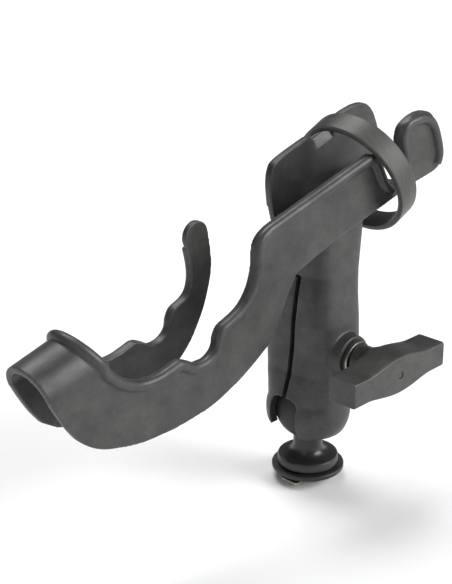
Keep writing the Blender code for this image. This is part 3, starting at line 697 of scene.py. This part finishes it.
def ring_body():
    """The split latch ring, with rounded edges and flat ends at its gap."""
    inner = RING_RADIUS - RING_WALL
    outline = [(inner, 0), (RING_RADIUS, 0), (RING_RADIUS, RING_WIDTH), (inner, RING_WIDTH)]
    profile = rounded(outline, RING_BEVEL)
    start = RING_GAP_ANGLE + RING_GAP / 2
    sweep = 2 * math.pi - RING_GAP
    rings = []
    for k in range(RING_STEPS + 1):
        angle = start + sweep * k / RING_STEPS
        rings.append([about_ring(-r * math.sin(angle), -r * math.cos(angle), h) for r, h in profile])
    made = shade(stack("ring_body", rings), 50)
    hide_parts("latch_ring")
    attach(made, "ring")
    return made


def knob_body():
    """Tee lever: wings of even height that swell in the middle, on a flared stem."""
    start = stem_start()
    half = BAR_LENGTH / 2
    rings = []
    for k in range(BAR_STATIONS):
        share = 2 * k / (BAR_STATIONS - 1) - 1
        swell = math.cos(min(1, abs(share) / SWELL_REACH) * math.pi / 2) ** SWELL_POWER
        tall = BAR_END_HEIGHT / 2 + (BAR_MIDDLE_HEIGHT - BAR_END_HEIGHT) / 2 * swell
        back = BAR_BACK + BAR_SWEEP * abs(share)
        outline = rounded([(-tall, back), (tall, back), (tall, BAR_FRONT), (-tall, BAR_FRONT)], BAR_BEVEL)
        rings.append([about_clamp(half * share, b, h) for b, h in outline])
    bar = stack("bar", rings)
    stem = [(STEM_RADIUS - STEM_BEVEL, start), (STEM_RADIUS, start + STEM_BEVEL)]
    stem += [(STEM_RADIUS + out, BAR_BACK + past) for out, past in STEM_FLARE]
    made = gather("knob_body", [bar, solid_turned("stem", stem, about_clamp)])
    mould(made, KNOB_VOXEL, KNOB_SMOOTHING)
    plug = clamp_bore("plug_hole", PLUG_RADIUS + PLUG_GAP, BAR_FRONT - PLUG_DEPTH, BAR_FRONT + CUT_OVERRUN)
    insert_end = start + KNOB_INSERT_LENGTH + KNOB_INSERT_ROOM
    insert = clamp_bore("insert_hole", KNOB_INSERT_RADIUS + FIT_GAP, start - CUT_OVERRUN, insert_end)
    combine(made, [plug, insert])
    shade(made)
    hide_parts("clamp_knob")
    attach(made, "knob")
    return made


def stem_start():
    return BOSS_FACE + WEAR_WASHER_THICKNESS + WASHER_THICKNESS + 3 * FIT_GAP


def ring_piece(name, inner, outer, start, end, place, bevel=0.35):
    profile = rounded([(inner, start), (outer, start), (outer, end), (inner, end)], bevel)
    return turned(name, profile, place)


def washers():
    start = BOSS_FACE + FIT_GAP
    bore = CLAMP_BOLT_RADIUS + FIT_GAP
    wear = ring_piece("wear_disc", bore, WASHER_RADIUS, start, start + WEAR_WASHER_THICKNESS, about_clamp)
    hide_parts("wear_washer")
    start += WEAR_WASHER_THICKNESS + FIT_GAP
    steel = ring_piece("steel_disc", bore, WASHER_RADIUS, start, start + WASHER_THICKNESS, about_clamp)
    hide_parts("clamp_washer")
    for piece in (wear, steel):
        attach(piece, "arm")
    return wear, steel


def ball_and_base():
    """The covered ball, its post and hub, and the base disc."""
    low = GASKET_THICKNESS + FIT_GAP
    base = low + FLANGE_THICKNESS + FIT_GAP
    top = base + HUB_THICKNESS
    height = BALL_CENTRE.z / MM
    skin_radius = BALL_RADIUS - COVER_THICKNESS
    core = skin_radius - FIT_GAP
    bottom = -math.degrees(math.acos(NECK_RADIUS / core))
    profile = [(INSERT_RADIUS + 0.4, base), (HUB_RADIUS - HUB_BEVEL, base), (HUB_RADIUS, base + HUB_BEVEL)]
    profile += [(HUB_RADIUS + out, top + rise) for out, rise in HUB_EDGE]
    profile += [(NECK_RADIUS + out, top + rise) for out, rise in NECK_FLARE]
    profile += arc(core, bottom, 87, 20, height)
    post = solid_turned("ball_post", profile, about_post)
    bore_radius = INSERT_RADIUS + FIT_GAP
    bore = [(bore_radius, 0), (bore_radius, base + INSERT_HEIGHT - FLANGE_THICKNESS)]
    shade(combine(post, [solid_turned("post_bore", bore, about_post)]))
    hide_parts("ball_core")

    rim = NECK_RADIUS + FIT_GAP
    outer = arc(BALL_RADIUS, -math.degrees(math.acos(rim / BALL_RADIUS)), 88, 48, height)
    inner = arc(skin_radius, 88, -math.degrees(math.acos(rim / skin_radius)), 48, height)
    skin = turned("ball_skin", outer + inner, about_post)
    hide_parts("ball_cover")

    high = low + FLANGE_THICKNESS
    disc = ring_piece("base_disc", bore_radius, FLANGE_RADIUS, low, high, about_post, FLANGE_BEVEL)
    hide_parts("base_flange")
    for piece in (post, skin, disc):
        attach(piece, "ball_base")
    return post, skin, disc


# Materials


class Nodes:
    """Short calls for building one material's nodes."""

    def __init__(self, name, roughness=0.5, metallic=0.0):
        self.material = bpy.data.materials.new(name)
        self.material.use_nodes = True
        self.tree = self.material.node_tree
        self.shader = self.tree.nodes["Principled BSDF"]
        self.shader.inputs["Roughness"].default_value = roughness
        self.shader.inputs["Metallic"].default_value = metallic
        self.place = self.add("ShaderNodeTexCoord").outputs["Object"]

    def add(self, kind, **values):
        made = self.tree.nodes.new(kind)
        for name, value in values.items():
            setattr(made, name, value)
        return made

    def link(self, source, target):
        self.tree.links.new(source, target)

    def noise(self, scale, detail=3.0, roughness=0.6, place=None):
        made = self.add("ShaderNodeTexNoise")
        made.inputs["Scale"].default_value = scale
        made.inputs["Detail"].default_value = detail
        made.inputs["Roughness"].default_value = roughness
        self.link(place or self.place, made.inputs["Vector"])
        return made.outputs["Fac"]

    def ramp(self, factor, low, high, start=0.0, end=1.0):
        """Maps a factor between start and end to a colour or grey between low and high."""
        made = self.add("ShaderNodeValToRGB")
        first, second = made.color_ramp.elements
        first.position, second.position = start, end
        first.color = (*low, 1.0) if isinstance(low, tuple) else (low, low, low, 1.0)
        second.color = (*high, 1.0) if isinstance(high, tuple) else (high, high, high, 1.0)
        self.link(factor, made.inputs["Fac"])
        return made.outputs["Color"]

    def blend(self, factor, first, second, kind="MIX"):
        made = self.add("ShaderNodeMix", data_type="RGBA", blend_type=kind)
        if isinstance(factor, float):
            made.inputs["Factor"].default_value = factor
        else:
            self.link(factor, made.inputs["Factor"])
        self.link(first, made.inputs[6])
        self.link(second, made.inputs[7])
        return made.outputs[2]

    def bump(self, height, strength, distance, below=None):
        made = self.add("ShaderNodeBump")
        made.inputs["Strength"].default_value = strength
        made.inputs["Distance"].default_value = distance
        self.link(height, made.inputs["Height"])
        if below:
            self.link(below, made.inputs["Normal"])
        return made.outputs["Normal"]

    def stretched(self, scale, turn=(0, 0, 0)):
        made = self.add("ShaderNodeMapping")
        made.inputs["Scale"].default_value = scale
        made.inputs["Rotation"].default_value = turn
        self.link(self.place, made.inputs["Vector"])
        return made.outputs["Vector"]


# Grain of the moulded plastic, in noise cells per metre
CLOUD_SCALE = 70.0
SPECK_SCALE = 900.0
PEBBLE_SCALE = 1500.0
WAVE_SCALE = 160.0
FLOW_SCALES = (25.0, 60.0, 90.0)
EDGE_HIGHLIGHT_GAIN = 1.9  # how much paler the painted highlight on a sharp edge is


def moulded_plastic(name, dark, light, roughness=(0.36, 0.56), grain=0.00007):
    """Glass-filled moulding: fine pebbled grain, cloudy flow marks and sharp edges made paler as a painted
    highlight.
    """
    made = Nodes(name)
    clouds = made.noise(CLOUD_SCALE, 8.0, 0.7)
    specks = made.noise(SPECK_SCALE, 2.0)
    flow = made.noise(1.0, 4.0, place=made.stretched(FLOW_SCALES))
    colour = made.ramp(clouds, dark, light, start=0.3, end=0.72)
    speckle = made.ramp(specks, (0.8, 0.8, 0.8), (1.2, 1.2, 1.2), start=0.35, end=0.7)
    colour = made.blend(0.5, colour, speckle, "MULTIPLY")
    # Painted highlight: sharp edges are painted paler, standing in for light caught along them.
    pointiness = made.add("ShaderNodeNewGeometry").outputs["Pointiness"]
    edges = made.ramp(pointiness, 0.0, 1.0, start=0.52, end=0.62)
    edge_highlight = made.add("ShaderNodeRGB")
    edge_highlight.outputs[0].default_value = (*[min(1.0, EDGE_HIGHLIGHT_GAIN * c) for c in light], 1.0)
    colour = made.blend(edges, colour, edge_highlight.outputs[0])
    made.link(colour, made.shader.inputs["Base Color"])
    made.link(made.ramp(flow, *roughness, start=0.3, end=0.7), made.shader.inputs["Roughness"])
    surface = made.bump(made.noise(PEBBLE_SCALE, 2.0), 0.55, grain)
    waves = made.bump(made.noise(WAVE_SCALE, 3.0), 0.25, grain * 3, surface)
    made.link(waves, made.shader.inputs["Normal"])
    return made.material


def ring_finish():
    """Dark plastic with fine lines round the band."""
    made = Nodes("ring_finish")
    lean = math.atan2(RING_AXIS.z, RING_AXIS.x)
    lines = made.noise(1.0, 4.0, 0.7, made.stretched((2600.0, 40.0, 40.0), (0, lean, 0)))
    clouds = made.noise(30.0, 4.0)
    colour = made.ramp(lines, (0.03, 0.0295, 0.028), (0.07, 0.0685, 0.065), 0.3, 0.72)
    shade_clouds = made.ramp(clouds, (0.8, 0.8, 0.8), (1.15, 1.15, 1.15), 0.3, 0.7)
    made.link(made.blend(0.6, colour, shade_clouds, "MULTIPLY"), made.shader.inputs["Base Color"])
    made.link(made.ramp(clouds, 0.38, 0.55, 0.3, 0.7), made.shader.inputs["Roughness"])
    made.link(made.bump(lines, 0.5, 0.00006), made.shader.inputs["Normal"])
    return made.material


def rubber(name, colour, roughness=0.62):
    made = Nodes(name, roughness)
    clouds = made.noise(60.0, 5.0)
    dark = tuple(0.8 * c for c in colour)
    light = tuple(1.3 * c for c in colour)
    made.link(made.ramp(clouds, dark, light, 0.3, 0.7), made.shader.inputs["Base Color"])
    made.link(made.bump(made.noise(1100.0, 3.0), 0.4, 0.00003), made.shader.inputs["Normal"])
    return made.material


def metal(name, colour, roughness=0.3):
    """Turned or rolled metal with fine streaks."""
    made = Nodes(name, roughness, 1.0)
    streaks = made.noise(1.0, 3.0, place=made.stretched((200.0, 200.0, 3000.0)))
    tone = made.ramp(streaks, tuple(0.75 * c for c in colour), colour, 0.3, 0.7)
    made.link(tone, made.shader.inputs["Base Color"])
    dullness = made.ramp(streaks, roughness - 0.1, roughness + 0.12, 0.3, 0.7)
    made.link(dullness, made.shader.inputs["Roughness"])
    made.link(made.bump(streaks, 0.2, 0.00002), made.shader.inputs["Normal"])
    return made.material


def dress(made, material):
    made.data.materials.clear()
    made.data.materials.append(material)


def dress_node(name, material):
    node = frame["nodes"][name]
    if not node.material_slots:
        node.data.materials.append(material)
    for slot in node.material_slots:
        slot.material = material


# Room, light and camera

CAMERA_PLACE = (-0.5210, -0.4570, 0.3850)
CAMERA_YAW = 45.1
CAMERA_PITCH = -21.6
CAMERA_ROLL = -0.87
LENS = 82.1712  # millimetres
SENSOR = 36.0
FLOOR_DROP = 0.0002
FLOOR_REACH = 60.0
FLOOR_GREY = (0.93, 0.95)
SKY_STRENGTH = 0.16

# (name, direction that it comes from, spread in degrees, strength)
LIGHTS = [
    ("key", (0.5, -0.9, 0.55), 40, 3.1),
    ("top", (0.25, 0.55, 1.4), 34, 2.1),
    ("side", (-1.0, -0.2, 0.5), 30, 0.3),
]


def make_camera():
    data = bpy.data.cameras.new("camera")
    data.sensor_width = SENSOR
    data.sensor_fit = "AUTO"
    data.lens = LENS
    data.clip_start = 0.01
    made = bpy.data.objects.new("camera", data)
    yaw, pitch, roll = (math.radians(a) for a in (CAMERA_YAW, CAMERA_PITCH, CAMERA_ROLL))
    forward = Vector((math.cos(yaw) * math.cos(pitch), math.sin(yaw) * math.cos(pitch), math.sin(pitch)))
    level = Vector((math.sin(yaw), -math.cos(yaw), 0))
    upright = level.cross(forward)
    right = level * math.cos(roll) + upright * math.sin(roll)
    up = upright * math.cos(roll) - level * math.sin(roll)
    turn = Matrix((right, up, -forward)).transposed().to_4x4()
    made.matrix_world = Matrix.Translation(CAMERA_PLACE) @ turn
    bpy.context.scene.collection.objects.link(made)
    bpy.context.scene.camera = made


def soft_light(name, direction, spread, strength):
    """A broad, distant panel: light arrives from this direction, over this many degrees."""
    data = bpy.data.lights.new(name, "SUN")
    data.angle = math.radians(spread)
    data.energy = strength
    made = bpy.data.objects.new(name, data)
    made.rotation_euler = Vector(direction).to_track_quat("Z", "Y").to_euler()
    bpy.context.scene.collection.objects.link(made)


def make_room():
    bpy.context.scene.view_settings.view_transform = "Standard"
    world = bpy.data.worlds.new("studio")
    bpy.context.scene.world = world
    world.use_nodes = True
    backdrop = world.node_tree.nodes["Background"]
    backdrop.inputs["Color"].default_value = (1.0, 1.0, 1.0, 1.0)
    backdrop.inputs["Strength"].default_value = SKY_STRENGTH
    low = cad_bounds[0][2] - FLOOR_DROP
    corners = ((-1, -1), (1, -1), (1, 1), (-1, 1))
    points = [(x * FLOOR_REACH, y * FLOOR_REACH, low) for x, y in corners]
    floor = add_object("studio_floor", points, [(0, 1, 2, 3)])
    paint = Nodes("floor_paint", 0.9)
    paint.link(paint.ramp(paint.noise(3.0), *FLOOR_GREY), paint.shader.inputs["Base Color"])
    dress(floor, paint.material)
    for light in LIGHTS:
        soft_light(*light)


def main():
    make_camera()
    composite = moulded_plastic("composite", (0.018, 0.018, 0.0177), (0.056, 0.0554, 0.0535))
    knob_plastic = moulded_plastic("knob_plastic", (0.022, 0.022, 0.0216), (0.062, 0.0614, 0.059))
    post_plastic = moulded_plastic("post_plastic", (0.013, 0.013, 0.013), (0.024, 0.024, 0.0235), (0.3, 0.45))
    nylon = moulded_plastic("nylon", (0.012, 0.012, 0.012), (0.022, 0.022, 0.022), (0.35, 0.5))
    black_rubber = rubber("black_rubber", (0.018, 0.018, 0.018))
    steel = metal("steel", (0.33, 0.32, 0.30), 0.34)
    # The t-bolt's plate gets a paler copy of the steel: painted light, to make up for the shade it lies in
    # under the base disc.
    painted_light_plate_steel = metal("painted_light_plate_steel", (0.72, 0.69, 0.62), 0.42)
    brass = metal("brass", (0.72, 0.52, 0.24), 0.35)

    dress(cradle_body(), composite)
    dress(jaw_body(), composite)
    dress(ring_body(), ring_finish())
    dress(knob_body(), knob_plastic)
    wear, steel_disc = washers()
    dress(wear, nylon)
    dress(steel_disc, steel)
    post, skin, disc = ball_and_base()
    dress(post, post_plastic)
    dress(skin, black_rubber)
    dress(disc, nylon)
    dress_node("t_bolt", painted_light_plate_steel)
    for name in ("base_insert", "clamp_bolt", "clamp_spring"):
        dress_node(name, steel)
    dress_node("knob_insert", brass)
    dress_node("knob_plug", nylon)
    dress_node("base_gasket", black_rubber)
    make_room()


main()
